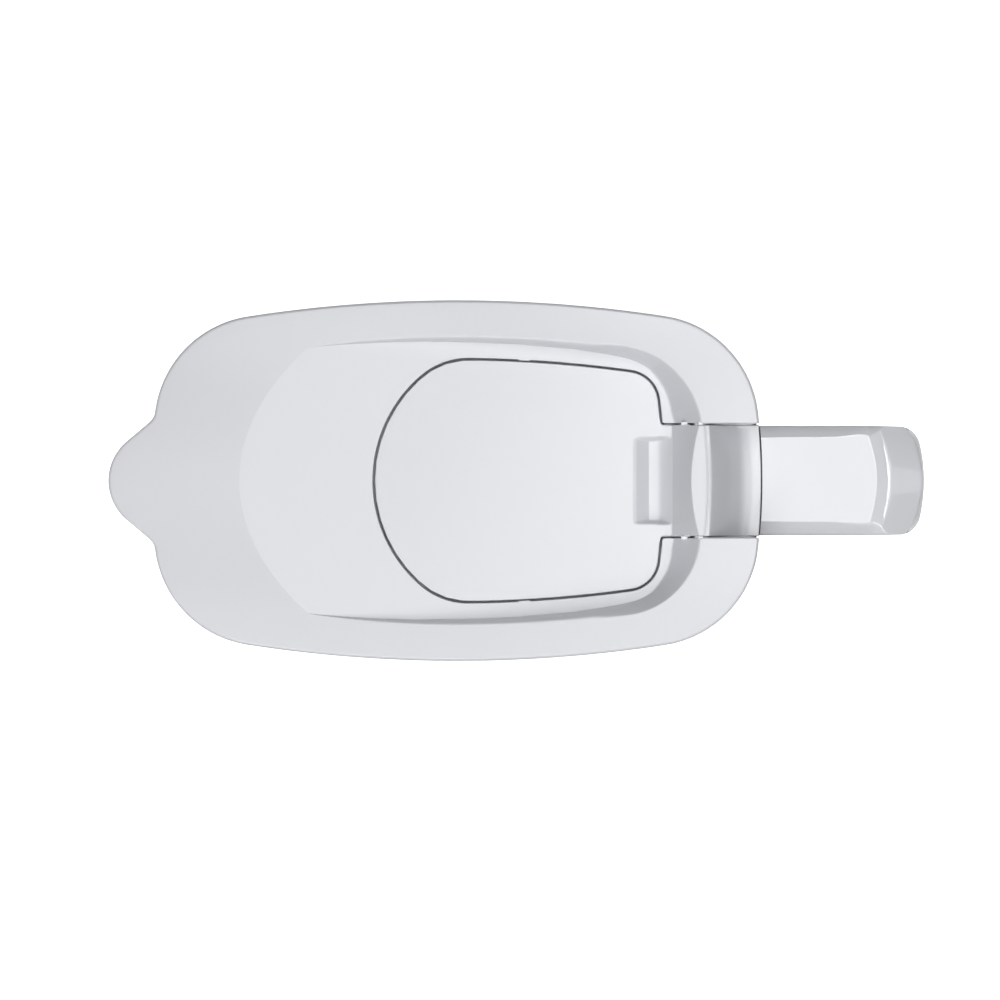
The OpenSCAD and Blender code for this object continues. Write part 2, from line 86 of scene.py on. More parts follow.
def outline(th, d, k=1.0, o=O):
    base = OVAL.r(th, d, o); k = np.asarray(k, float) + 0*base
    return np.where(k <= 0, base, smax(base, nose(th, d, k, o), 1.7))

def crown(x, y): return TOP - 900 + np.sqrt((595 + np.sqrt(305.0**2 - y*y))**2 - (x - 80)**2)
def basin(x): return TOP - 14 - 2730 + np.sqrt(2730.0**2 - (x - 25)**2)

FS = (-19.8, 40.15 - 420); FE = (48.8 - 216.6, 0); FF = (-47 + 45.4, 0)
FC = meet(FS, 420 - 10.7, FE, 216.6 - 10.7); FD = meet(FS, 420 - 23.7, FF, 45.4 - 23.7)
FLAP = Chain([(FE, 216.6), (FC, 10.7), (FS, 420), (FD, 23.7), (FF, 45.4)])
GAP2 = 0.375
NECK = 18.6
RS = (-20, 48 - 440); RL = (-20, 48 - 300)
def rim_chain(r, x_end):
    RE = (x_end - 170, 0); return Chain([(RE, 170), (meet(RS, 440 - r, RE, 170 - r), r), (RS, 440), (RL, 300)])
RIM_P, RIM_N = rim_chain(30, 61.9), rim_chain(27, 61.6)     # +Y side, -Y side
def rim_r(th, d, o): return np.where(np.sin(th) > 0, RIM_P.r(th, d, o), RIM_N.r(th, d, o))

# thumb pad: steep below the crest, easing to level at its far end; heights summed from a table of slopes
PAD_S = np.linspace(60, 90, 1501)
PAD_T = np.interp(PAD_S, [60, 62.6, 63.6, 64.4, 65.5, 67.9, 70.3, 71.3, 73.6, 74.6, 76.0, 77.2, 79.0, 90],
                  np.tan(np.radians([2, 4, 14, 34, 63, 61, 51, 42, 40, 31, 21, 13, 1, 0])))
PAD_H = 246.9 + np.concatenate([np.cumsum((PAD_T[::-1][:-1] + PAD_T[::-1][1:])*0.01)[::-1], [0.0]])

# ---------------------------------------------------------------- mesh helpers
def sheet(P, wrap_rows=False, wrap_cols=False):
    """Points P[row, col] in mm as vertices and quads."""
    m, n = P.shape[:2]; F = []
    for i in range(m if wrap_rows else m - 1):
        i2 = (i + 1) % m
        for j in range(n if wrap_cols else n - 1):
            j2 = (j + 1) % n
            F.append((i*n + j, i*n + j2, i2*n + j2, i2*n + j))
    return P.reshape(-1, 3), F

def build(name, parts, merge=0.004, sharp=None):
    """One object from several (vertices in mm, faces); coincident points are merged."""
    V, F, k = [], [], 0
    for v, f in parts:
        V.append(np.asarray(v)*MM); F += [tuple(a + k for a in q) for q in f]; k += len(v)
    me = bpy.data.meshes.new(name); me.from_pydata(np.vstack(V).tolist(), [], F)
    bm = bmesh.new(); bm.from_mesh(me)
    bmesh.ops.remove_doubles(bm, verts=bm.verts, dist=merge*MM)
    bmesh.ops.dissolve_degenerate(bm, edges=bm.edges, dist=merge*MM*0.5)
    loose = [v for v in bm.verts if not v.link_faces]
    if loose: bmesh.ops.delete(bm, geom=loose, context="VERTS")
    bmesh.ops.recalc_face_normals(bm, faces=bm.faces)
    bm.to_mesh(me); bm.free()
    for p in me.polygons: p.use_smooth = True
    ob = bpy.data.objects.new(name, me); bpy.context.scene.collection.objects.link(ob)
    if sharp is not None: me.set_sharp_from_angle(angle=math.radians(sharp))
    return ob

def cap(ring): return (ring, [tuple(range(len(ring)))])
def lathe(profile, cx=0.0, cy=0.0, n=128):
    a = np.linspace(0, 2*np.pi, n, endpoint=False); P = np.array(profile, float)
    G = np.stack([cx + P[:, 0:1]*np.cos(a), cy + P[:, 0:1]*np.sin(a), P[:, 1:2] + 0*a], axis=-1)
    return G

# ---------------------------------------------------------------- materials
def nodes_of(name):
    m = bpy.data.materials.new(name); m.use_nodes = True; nt = m.node_tree; nt.nodes.clear()
    out = nt.nodes.new("ShaderNodeOutputMaterial"); b = nt.nodes.new("ShaderNodeBsdfPrincipled")
    nt.links.new(b.outputs[0], out.inputs[0])
    return m, nt, b
def noise(nt, scale, detail=3.0, rough=0.5, coord=None):
    n = nt.nodes.new("ShaderNodeTexNoise"); n.inputs["Scale"].default_value = scale
    n.inputs["Detail"].default_value = detail; n.inputs["Roughness"].default_value = rough
    if coord is None:
        coord = nt.nodes.new("ShaderNodeTexCoord").outputs["Object"]
    nt.links.new(coord, n.inputs["Vector"])
    return n.outputs["Fac"]
def ramp(nt, fac, stops):
    r = nt.nodes.new("ShaderNodeValToRGB"); e = r.color_ramp.elements
    while len(e) < len(stops): e.new(0.5)
    for k, (p, c) in enumerate(stops): e[k].position = p; e[k].color = (*c, 1) if len(c) == 3 else c
    nt.links.new(fac, r.inputs[0]); return r.outputs[0]
def span(nt, fac, lo, hi):
    r = nt.nodes.new("ShaderNodeMapRange"); nt.links.new(fac, r.inputs[0])
    r.inputs["From Min"].default_value = 0.3; r.inputs["From Max"].default_value = 0.7
    r.inputs["To Min"].default_value = lo; r.inputs["To Max"].default_value = hi; return r.outputs[0]
def bump(nt, b, fac, strength, dist, under=None):
    n = nt.nodes.new("ShaderNodeBump"); n.inputs["Strength"].default_value = strength
    n.inputs["Distance"].default_value = dist; nt.links.new(fac, n.inputs["Height"])
    if under is not None: nt.links.new(under, n.inputs["Normal"])
    nt.links.new(n.outputs[0], b.inputs["Normal"]); return n.outputs[0]

def moulded(name, col, rough, spread=0.006, grain=0.0, grain_scale=2600, coat=0.0, coat_rough=0.08, wave=0.03, spec=0.5):
    """Moulded plastic: colour clouds, uneven gloss, a faint flow ripple and, where asked, an eroded grain."""
    m, nt, b = nodes_of(name)
    co = nt.nodes.new("ShaderNodeTexCoord").outputs["Object"]
    c = np.array(col)
    cloud = noise(nt, 14, 4, 0.55, co)
    base = ramp(nt, cloud, [(0.30, tuple(c*(1 - spread))), (0.55, tuple(c)), (0.75, tuple(np.minimum(1, c*(1 + spread))))])
    # fine scuffs that touch only a trace of colour
    scuff = noise(nt, 70, 2, 0.5, co)
    mix = nt.nodes.new("ShaderNodeMixRGB"); mix.blend_type = "MULTIPLY"
    nt.links.new(ramp(nt, scuff, [(0.20, (0.994, 0.994, 0.994)), (0.80, (1, 1, 1))]), mix.inputs[2])
    mix.inputs[0].default_value = 1.0
    nt.links.new(base, mix.inputs[1]); nt.links.new(mix.outputs[0], b.inputs["Base Color"])
    nt.links.new(span(nt, noise(nt, 38, 5, 0.6, co), rough*0.94, rough*1.06), b.inputs["Roughness"])
    b.inputs["IOR"].default_value = 1.49
    b.inputs["Specular IOR Level"].default_value = spec
    b.inputs["Coat Weight"].default_value = coat; b.inputs["Coat Roughness"].default_value = coat_rough
    n1 = bump(nt, b, noise(nt, 24, 2, 0.4, co), wave, 0.0006)
    if grain: bump(nt, b, noise(nt, grain_scale, 3, 0.6, co), grain, 0.00006, n1)
    return m

def clear(name, col, rough, ior=1.49, frost=0.0):
    m, nt, b = nodes_of(name)
    co = nt.nodes.new("ShaderNodeTexCoord").outputs["Object"]
    c = np.array(col)
    nt.links.new(ramp(nt, noise(nt, 9, 3, 0.5, co), [(0.3, tuple(c*0.985)), (0.7, tuple(np.minimum(1, c*1.01)))]), b.inputs["Base Color"])
    nt.links.new(span(nt, noise(nt, 60, 6, 0.65, co), rough*0.7, rough*1.4), b.inputs["Roughness"])
    b.inputs["IOR"].default_value = ior; b.inputs["Transmission Weight"].default_value = 1.0
    n1 = bump(nt, b, noise(nt, 16, 2, 0.4, co), 0.03, 0.0008)
    if frost: bump(nt, b, noise(nt, 1800, 3, 0.6, co), frost, 0.00006, n1)
    return m

def granules(name, dark, light, scale=520):
    m, nt, b = nodes_of(name)
    co = nt.nodes.new("ShaderNodeTexCoord").outputs["Object"]
    v = nt.nodes.new("ShaderNodeTexVoronoi"); v.inputs["Scale"].default_value = scale
    nt.links.new(co, v.inputs["Vector"])
    sep = nt.nodes.new("ShaderNodeSeparateColor"); nt.links.new(v.outputs["Color"], sep.inputs[0])
    nt.links.new(ramp(nt, sep.outputs[0], [(0.0, dark), (0.55, tuple((np.array(dark) + np.array(light))/2)), (1.0, light)]), b.inputs["Base Color"])
    b.inputs["Roughness"].default_value = 0.55
    inv = nt.nodes.new("ShaderNodeMath"); inv.operation = "SUBTRACT"; inv.inputs[0].default_value = 1.0
    nt.links.new(v.outputs["Distance"], inv.inputs[1]); bump(nt, b, inv.outputs[0], 0.9, 0.0009)
    return m

def fleece(name, col):
    m, nt, b = nodes_of(name)
    co = nt.nodes.new("ShaderNodeTexCoord").outputs["Object"]
    mp = nt.nodes.new("ShaderNodeMapping"); mp.inputs["Scale"].default_value = (1, 2.4, 1); nt.links.new(co, mp.inputs[0])
    f = noise(nt, 900, 8, 0.75, mp.outputs[0]); c = np.array(col)
    nt.links.new(ramp(nt, f, [(0.3, tuple(c*0.8)), (0.6, tuple(c))]), b.inputs["Base Color"])
    b.inputs["Roughness"].default_value = 0.95; b.inputs["Sheen Weight"].default_value = 0.3
    bump(nt, b, f, 0.7, 0.0004); return m

def metal(name, col, rough):
    m, nt, b = nodes_of(name)
    co = nt.nodes.new("ShaderNodeTexCoord").outputs["Object"]
    mp = nt.nodes.new("ShaderNodeMapping"); mp.inputs["Scale"].default_value = (1, 14, 1); nt.links.new(co, mp.inputs[0])
    f = noise(nt, 420, 5, 0.6, mp.outputs[0]); c = np.array(col)
    nt.links.new(ramp(nt, f, [(0.3, tuple(c*0.9)), (0.7, tuple(np.minimum(1, c*1.05)))]), b.inputs["Base Color"])
    b.inputs["Metallic"].default_value = 1.0
    nt.links.new(span(nt, f, rough*0.8, rough*1.3), b.inputs["Roughness"]); bump(nt, b, f, 0.15, 0.0002); return m

M_WHITE = moulded("white_gloss_plastic", (0.560, 0.569, 0.597), 0.30, spec=1.0)
M_FLAP = moulded("flap_gloss_plastic", (0.564, 0.573, 0.600), 0.30, spec=1.0)
M_HANDLE = moulded("handle_gloss_plastic", (0.556, 0.563, 0.588), 0.30, coat=1.0, coat_rough=0.03, spec=0.8)
M_SATIN = moulded("white_satin_plastic", (0.76, 0.77, 0.80), 0.42, grain=0.10)
M_GRIP = moulded("grip_plastic", (0.52, 0.535, 0.57), 0.46, spread=0.03, grain=0.5, grain_scale=1500)
M_CLEAR = clear("clear_jug_plastic", (0.93, 0.965, 0.985), 0.03)
M_FROST = clear("smoky_funnel_plastic", (0.80, 0.85, 0.90), 0.22, frost=0.25)
M_RUBBER = moulded("soft_ring_rubber", (0.20, 0.21, 0.235), 0.62, spread=0.05, grain=0.6, grain_scale=1900)
M_SEAL = moulded("seal_rubber", (0.06, 0.065, 0.075), 0.5, spread=0.08, grain=0.3)
M_CART = moulded("cartridge_plastic", (0.78, 0.785, 0.80), 0.38, grain=0.15)
M_FLEECE = fleece("filter_fleece", (0.80, 0.81, 0.82))
M_RESIN = granules("resin_granules", (0.30, 0.15, 0.04), (0.80, 0.56, 0.22), 900)
M_CARBON = granules("carbon_granules", (0.008, 0.008, 0.009), (0.07, 0.07, 0.075), 700)
M_PIN = metal("pin_steel", (0.66, 0.67, 0.69), 0.28)

def dress(ob, mat, body, slot, *nodes):
    ob.data.materials.clear(); ob.data.materials.append(mat)
    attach(ob, body)
    if nodes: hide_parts(*nodes)
    return ob

# ================================================================= lid
LO = (-10.0, 0.0)                       # rays of the lid start here
EDGE_B, OUT_W = 0.30, 0.9               # edge radius at the opening, width of the outer round

def opening(th, d=0.0):
    a = FLAP.r(th, -(GAP2 + d), LO)
    q = np.abs((th + np.pi) % (2*np.pi) - np.pi)
    nl = np.where(q < math.radians(34), (NECK + GAP2 + d)/np.maximum(np.sin(q), 1e-3), 0)
    r = smax(a, nl, 1.4)
    x = LO[0] + r*np.cos(th)
    r = r - 0.02*(x > 50)*(nl > a)
    catch = ease((x - 0.7)/0.5)*ease((4.9 - x)/0.5)*(q > 1.0)*(q < 1.6)
    return r - 0.33*catch

def lid_angles():
    lo, hi = math.radians(8), math.radians(20)
    for _ in range(60):
        t = np.array([(lo + hi)/2])
        if opening(t)[0] > outline(t, 0.0, 1.0, LO)[0]: lo = t[0]
        else: hi = t[0]
    t0 = hi
    seg = [np.linspace(t0, math.radians(24), 90, endpoint=False), np.radians(np.arange(24, 68, 0.5)),
           np.radians(np.arange(68, 76, 0.12)), np.radians(np.arange(76, 138, 0.6)), np.radians(np.arange(138, 166, 0.35)),
           np.radians(np.arange(166, 180, 0.16))]
    half = np.concatenate(seg); return np.concatenate([half, [np.pi], 2*np.pi - half[::-1]])

def lid_mesh():
    th = lid_angles(); c, s = np.cos(th), np.sin(th)
    q = np.degrees(np.abs((th + np.pi) % (2*np.pi) - np.pi))
    X = lambda r: LO[0] + r*c
    Y = lambda r: LO[1] + r*s
    R3 = lambda d: outline(th, d, 1.0, LO)
    lo = np.full(len(th), 30.0); hi = R3(0.0) + 2
    far = crown(X(hi), Y(hi)) > basin(X(hi))
    for _ in range(40):
        mid = (lo + hi)/2; inside = crown(X(mid), Y(mid)) > basin(X(mid))
        lo = np.where(inside, mid, lo); hi = np.where(inside, hi, mid)
    rf = np.where(far, 999.0, lo)
    wt = np.interp(q, [0, 20, 27, 34, 44, 55, 75, 90, 110, 128, 138, 143, 180], [8.4, 8.2, 6.2, 4.3, 3.4, 2.8, 2.5, 2.3, 2.0, 1.3, 0.6, 0.15, 0.1])
    k_rim = np.interp(q, [0, 36, 50, 143], [0.8, 0.6, 0.35, 0.3]); k_foot = np.interp(q, [0, 20, 30, 40, 55, 143], [0.5, 0.6, 1.2, 0.9, 0.22, 0.2])
    rim = np.minimum(rim_r(th, 0.0, LO), rf); foot = np.minimum(rim_r(th, wt, LO), rf)
    f1 = basin(X(foot)); t2 = crown(X(rim), Y(rim)); wf = np.clip((rim - foot)/1.0, 0, 1)*(rf > rim + 0.01)*np.clip((t2 - f1)/1.5, 0, 1)
    wid = np.maximum(rim - foot, 0.05); hgt = np.maximum(t2 - f1, 0.0)
    ell = np.interp(q, [0, 34, 52, 180], [0.0, 0.0, 1.0, 1.0])
    def h(r, kf=1.0, kr=1.0, dz=0.0, shift=0.0):
        x, y = X(r), Y(r)
        t = (r - shift - foot)/wid
        arc = np.where(t < 0, 4*t, np.where(t > 1, t, np.sqrt(np.maximum(0, 1 - (1 - np.clip(t, 0, 1))**2))))
        zw = f1 + hgt*(t*(1 - ell) + arc*ell)
        return smin(crown(x, y), smax(basin(x), zw, 0.01 + k_foot*wf*kf), 0.03 + k_rim*wf*kr) - dz
    ro_in = opening(th, EDGE_B + 0.10); out_in = R3(OUT_W + 0.12)
    out_h = 2.0 - ease((-100 - X(R3(0.0)))/30)      # the outer round is taller than wide, less so at the spout
    ro_in = np.minimum(ro_in, out_in)
    rows = []
    def add(r, z): rows.append(np.stack([X(r), Y(r), z + 0*r], axis=-1))
    lim = lambda r: np.clip(r, ro_in, out_in)
    # opening wall, drafted beside the thumb lever
    ro = np.minimum(opening(th), R3(0.0)); xo = X(ro); neck = (np.abs(Y(ro)) < NECK + 2.5)*(xo > 45)
    draft = 0.70*ease((xo - 61.8)/2.2)*neck
    rod = np.minimum(opening(th, -draft), R3(0.0))
    z_open = np.maximum(h(ro) - 2.3 - 22.0*ease((xo - 59)/4)*neck, RIM_Z + 5.6)
    rob = np.minimum(opening(th, 1.1), np.maximum(R3(0.4), ro))
    z_mid = np.where(draft > 0.01, np.maximum(np.minimum(h(ro) - 1.2, np.interp(xo + 0.9, PAD_S, PAD_H) - 0.15), z_open + 0.3), z_open + 0.3)
    add(rob, z_open); add(rod, z_open); add(rod, z_open + 0.12); add(rod, z_mid)
    for t in np.radians([0, 18, 38, 58, 76, 90]):
        r = np.minimum(opening(th, EDGE_B*(1 - math.cos(t))), out_in); add(r, h(r) - EDGE_B*(1 - math.sin(t)))
    add(ro_in, h(ro_in))
    for u in (0.05, 0.15, 0.3, 0.5, 0.7, 0.85, 0.95):
        r = lim(opening(th, EDGE_B + 0.1)*(1 - u) + (foot - 1.5)*u); add(r, h(r))
    for u in np.linspace(0, 1, 34):
        r = lim((foot - 1.5)*(1 - u) + (rim + 1.4)*u); add(r, h(r))
    for u in (0.06, 0.15, 0.28, 0.42, 0.56, 0.7, 0.84, 0.94):
        r = lim((rim + 1.4)*(1 - u) + out_in*u); add(r, h(r))
    add(out_in, h(out_in))
    for t in np.radians([0, 12, 24, 36, 47, 57, 66, 74, 82, 90]):
        r = np.maximum(R3(OUT_W*(1 - math.sin(t))), np.minimum(ro, R3(0.0))); add(r, h(r) - out_h*(1 - math.cos(t)))
    e = R3(0.0); ze = h(e) - out_h
    mouth = ease((12.2 - np.abs(Y(e)))/1.4)*(X(e) < -115); zb = RIM_Z + 2.0*mouth
    add(e, ze - 0.12); add(e, ze*0.5 + zb*0.5); add(e, zb + 0.42)
    for t in np.radians([0, 30, 60, 90]): add(np.maximum(R3(0.3*(1 - math.cos(t))), np.minimum(ro, e)), zb + 0.3*(1 - math.sin(t)))
    inn = lambda d: np.maximum(R3(d), np.minimum(ro, e))
    add(inn(2.15), zb); add(inn(2.4), zb + 0.25)
    zi = crown(X(inn(3.2)), Y(inn(3.2))) - 2.4
    add(inn(2.4), np.maximum(zi - 0.9, zb + 0.3)); add(inn(2.6), zi - 0.25); add(inn(3.3), zi)
    lo2 = np.minimum(opening(th, 1.15), inn(3.3))
    for r in (rim + 3.2, rim + 2.4, (rim + foot)/2 + 2.4, foot + 2.4, foot + 1.4):
        r = np.clip(r, lo2, inn(3.3)); add(r, h(r, dz=2.3, shift=2.4))
    for u in (0.5, 1.0):
        r = np.clip((foot + 1.4)*(1 - u) + opening(th, 1.15)*u, lo2, inn(3.3)); add(r, h(r, dz=2.3, shift=2.4))
    return sheet(np.array(rows), wrap_rows=True)

def sill_mesh():
    """The low end wall of the lid under the thumb lever."""
    th = np.radians(np.linspace(-11.6, 11.6, 60)); c, s = np.cos(th), np.sin(th)
    rows = []
    def add(d, z):
        r = outline(th, d, 1.0, LO); rows.append(np.stack([LO[0] + r*c, r*s, z + 0*r], axis=-1))
    zt = RIM_Z + 6
    for d, z in [(0, RIM_Z + 0.3), (0, zt - 0.4), (0.12, zt - 0.12), (0.4, zt), (2.0, zt), (2.28, zt - 0.12), (2.4, zt - 0.4), (2.4, RIM_Z + 0.3), (2.1, RIM_Z), (0.3, RIM_Z)]: add(d, z)
    G = np.array(rows); v, f = sheet(G, wrap_rows=True); m, n = G.shape[:2]
    f.append(tuple(i*n for i in range(m))); f.append(tuple(i*n + n - 1 for i in reversed(range(m))))
    return v, f

lid = build("lid_shell", [lid_mesh(), sill_mesh()])
dress(lid, M_WHITE, "lid", "white_gloss", "lid_cover")

def ledge_mesh():
    """Rebate under the free edge of the flap: a ring of L section, open where the thumb lever passes."""
    th = np.radians(np.concatenate([np.arange(20.5, 26, 0.5), np.arange(26, 68, 1.0), np.arange(68, 76, 0.5), np.arange(76, 284, 1.2), np.arange(284, 292, 0.5), np.arange(292, 334, 1.0), np.arange(334, 339.6, 0.5)]))
    rows = []
    def add(d, z):
        r = FLAP.r(th, -(GAP2 + d), LO); x = LO[0] + r*np.cos(th); rows.append(np.stack([x, r*np.sin(th), z + 0*x], axis=-1))
    for d, z in [(0.9, 246.2), (0.9, 239.9), (0.7, 239.7), (-2.6, 239.7), (-2.8, 239.9), (-2.8, 240.9), (-2.6, 241.1), (-0.1, 241.1), (0.05, 241.3), (0.05, 246.2)]: add(d, z)
    G = np.array(rows); v, f = sheet(G, wrap_rows=True); m, n = G.shape[:2]
    f.append(tuple(i*n for i in range(m))); f.append(tuple(i*n + n - 1 for i in reversed(range(m))))
    return v, f


# fork horns that hold the hinge pins, seen in the side gaps of the thumb lever
def fork(sgn):
    y0, y1 = sgn*(NECK - 0.24), sgn*(NECK + GAP2 + 0.4)
    parts = []
    def prong(xa, xb, za, zb, lean):
        n = 9; X0 = np.linspace(xa, xb, n); u = (X0 - xa)/(xb - xa)*2 - 1
        top = zb - (1 - np.sqrt(np.maximum(0, 1 - (np.abs(u)**3)*0.85)))*0.55
        ring = [(x, z) for x, z in zip(X0, top)] + [(xb + lean, za), (xa + lean, za)]
        P = np.array([[(x, y, z) for x, z in ring] for y in (y0, y0*0.75 + y1*0.25, y0*0.25 + y1*0.75, y1)])
        v, f = sheet(P, wrap_cols=True); m, k = P.shape[:2]
        f.append(tuple(range(k))); f.append(tuple(reversed(range((m - 1)*k, m*k)))); parts.append((v, f))
    prong(54.45, 56.75, 246.0, 254.3, 0.0)
    prong(60.05, 61.75, 246.0, 260.9, 0.0)
    return parts
forks = build("hinge_fork_horns", fork(1) + fork(-1))
dress(forks, M_SATIN, "lid", "white_satin")

# cheeks that carry the pins and the tray between them
def side_block(poly, y0, y1):
    P = np.array([[(x, y, z) for x, z in poly] for y in (y0, y1)]); v, f = sheet(P, wrap_cols=True); k = len(poly)
    return v, f + [tuple(range(k)), tuple(reversed(range(k, 2*k)))]
CHEEK = [(50.4, 232.4), (75.2, 232.4), (75.2, 258.2), (68, 258.9), (62.4, 258.6), (60.2, 257.4), (58.2, 254.6), (55.4, 249.8), (52.8, 245.5), (50.4, 245.2)]
TRAY = [(59.9, 232.3), (75.1, 232.3), (75.1, 233.2), (59.9, 233.2)]
STEP = [(46.4, 239.7), (59.8, 239.7), (59.8, 241.1), (46.4, 241.1)]
ledge = build("opening_ledge", [ledge_mesh()] + [side_block(STEP, sg*18.45, sg*21.7) for sg in (1, -1)], sharp=50)
dress(ledge, M_GRIP, "lid", "grip")
frame_ob = build("hinge_cheeks_and_tray", [side_block(CHEEK, sg*(NECK + GAP2 + 0.06), sg*(NECK + GAP2 + 2.55)) for sg in (1, -1)] + [side_block(TRAY, -21.4, 21.4)], sharp=40)
bv = frame_ob.modifiers.new("edges", "BEVEL"); bv.width = 0.3*MM; bv.segments = 2; bv.limit_method = "ANGLE"
bpy.context.view_layer.objects.active = frame_ob; bpy.ops.object.modifier_apply(modifier=bv.name)
dress(frame_ob, M_SATIN, "lid", "white_satin", "lid_frame")

# ================================================================= flap
def plate(x, y):
    c = 1.3*np.clip(1 - ((x - 1)/48.0)**2, 0, 1)*np.clip(1 - (y/40.0)**2, 0, 1)
    return basin(x) + c
def flap_top(x, y):
    ay = np.abs(y); pl = plate(x, y)
    left = pl - np.where(x < 39.9, 0.36*(x - 38.75), 0.414 + 0.76*(x - 39.9))
    side = pl - (14.05 + (x - 39.4)*0.035 - ay)*3.6
    run = np.clip(x - 46.5, 0, 2.1); zf = 244.72 + 3.22 - np.sqrt(3.22**2 - run**2) + 0.86*np.maximum(x - 48.6, 0)
    hol = smax(smax(left, side, 1.1), zf, 0.12)
    base = smin(pl, hol, 0.12)
    xl = 57.7 + 0.0078*y*y; zl = crown(xl, y)
    sl = 248.0 + (x - 51.7)*(zl - 248.0)/(xl - 51.7)
    z = smax(base, sl, 0.5)
    z = smin(z, crown(x, y), 0.45)
    pad = np.interp(x + 0.0038*y*y, PAD_S, PAD_H)
    z = smin(z, pad, 0.3)
    xb = x + 0.0038*y*y                   # fine groove and bead where the crest ends
    z = z - 0.16*np.exp(-((xb - 63.05)/0.22)**2) + 0.08*np.exp(-((xb - 63.72)/0.2)**2)
    return z + 0.35*np.exp(-((18.0 - y)/0.5)**2)*ease((x - 72.5)/3.0)

SEAM = NECK - GAP2 + 1.6
XS = FE[0] + math.sqrt((216.6 - GAP2)**2 - SEAM**2)
LEV = NECK - GAP2
BEV = 0.30
def half_w(x):
    t = np.clip((x - XS)/1.6, 0, 1)
    return LEV + 1.6*(1 - np.sqrt(np.maximum(0, 1 - (1 - t)**2)))
def drop(d): d = np.clip(d, 0, BEV); return BEV - np.sqrt(np.maximum(0, BEV**2 - (BEV - d)**2))

def flap_parts():
    xl = np.unique(np.round(np.concatenate([
        np.arange(36, 38.4, 0.4), np.arange(38.4, 44.4, 0.16), [43.5], np.arange(44.4, 51, 0.24), [XS], np.arange(XS, XS + 1.7, 0.16),
        np.arange(51, 53.4, 0.15), np.arange(53.4, 57, 0.3), np.arange(57, 62.4, 0.15), np.arange(62.4, 64.6, 0.08), np.arange(64.6, 67, 0.15), np.arange(67, 80, 0.3), [80.0]]), 4))
    xl = xl[np.concatenate([[True], np.diff(xl) > 0.05])]
    if XS not in xl: xl = np.sort(np.append(xl[np.abs(xl - XS) > 0.06], XS))
    tail = [80.2, 80.36]
    e = np.array([0, 0.02, 0.06, 0.12, 0.2, 0.3, 0.42, 0.7])
    v_in = np.linspace(-1, 1, 79)[2:-2]
    # columns across: fractions of the half width, with close lines at the edges
    def cols(w):
        return np.concatenate([-(w - e), v_in*(w - 0.7)/np.abs(v_in[0])*0.985, (w - e)[::-1]])
    XE = lambda y: E_[0] + np.sqrt((204 - 0.14)**2 - y*y)
    G = []
    def row(x0, k=0.0, end=False, dend=99.0):
        w = float(half_w(np.array([x0]))[0]) if not end else LEV
        y = cols(w)
        x = x0 + 0*y
        if x0 > 74: x = 74 + (x0 - 74)*(XE(y) - 74)/(80.96 - 74)
        if end: x = XE(y) - dend
        z = flap_top(x, y)
        free = 0.0 if x0 <= XS + 1e-9 else float(ease((x0 - XS)/0.6))
        z = z - drop(w - np.abs(y))*free*(1 - 0.8*float(ease((x0 - 62)/2)))
        if end: z = z - drop(np.full(len(y), dend))
        G.append(np.stack([x, y, z], axis=-1))
    for x0 in xl: row(float(x0))
    for d in (0.42, 0.3, 0.2, 0.12, 0.06, 0.02, 0.0): row(80.7, end=True, dend=d)
    G = np.array(G); lever = sheet(G)
    # plate: rings from the seam out to the edge
    ks = [k for k in range(len(xl)) if xl[k] <= XS + 1e-9]
    top_side = [G[k, -1] for k in reversed(ks)]; front = [G[0, j] for j in range(G.shape[1] - 2, 0, -1)]; low_side = [G[k, 0] for k in ks]
    seam = np.array(top_side + front + low_side)
    po = (43.0, 0.0); th = np.arctan2(seam[:, 1], seam[:, 0] - po[0]); rs = np.hypot(seam[:, 0] - po[0], seam[:, 1])
    edge = lambda d: np.maximum(FLAP.r(th, GAP2 + d, po), rs)
    rows = [seam]
    def add(r, dz=0.0):
        x, y = po[0] + r*np.cos(th), po[1] + r*np.sin(th)
        rows.append(np.stack([x, y, flap_top(x, y) - dz], axis=-1))
    r_in = edge(BEV + 0.12)
    for u in np.concatenate([np.linspace(0.02, 0.9, 30), [0.94, 0.97, 0.99]]): add(rs*(1 - u) + r_in*u)
    add(r_in)
    for d in (0.3, 0.2, 0.12, 0.06, 0.02, 0.0): add(edge(d), drop(np.array([d]))[0])
    return [lever, sheet(np.array(rows))]

def flap_low(x):
    return np.interp(x, [-60, 54, 60, 68, 74, 80, 82], [241.6, 241.8, 242.6, 243.4, 244.2, 245.95, 246.05])

def finish_shell(ob, low, thick):
    """Draws the free edge down to the lower line and gives the sheet its wall."""
    me = ob.data; bm = bmesh.new(); bm.from_mesh(me)
    for k, f in enumerate((None, 0.5, 1.0)):
        edges = [e for e in bm.edges if e.is_boundary]
        start = {v: v.co.z for e in edges for v in e.verts}
        ret = bmesh.ops.extrude_edge_only(bm, edges=edges)
        new = [g for g in ret["geom"] if isinstance(g, bmesh.types.BMVert)]
        for v in new:
            zl = float(low(np.array([v.co.x/MM]))[0])*MM
            v.co.z = v.co.z - 0.12*MM if f is None else v.co.z*(1 - f) + zl*f
    bmesh.ops.recalc_face_normals(bm, faces=bm.faces)
    up = sum(f.normal.z*f.calc_area() for f in bm.faces)
    if up < 0: bmesh.ops.reverse_faces(bm, faces=bm.faces)
    bm.to_mesh(me); bm.free()
    for p in me.polygons: p.use_smooth = True
    m = ob.modifiers.new("wall", "SOLIDIFY"); m.thickness = thick*MM; m.offset = -1.0; m.use_even_offset = False
    bpy.context.view_layer.objects.active = ob
    bpy.ops.object.modifier_apply(modifier=m.name)
    for p in ob.data.polygons: p.use_smooth = True

flap = build("flap_shell", flap_parts(), merge=0.012)
finish_shell(flap, flap_low, 1.5)
dress(flap, M_FLAP, "flap", "white_gloss", "flap_cover")

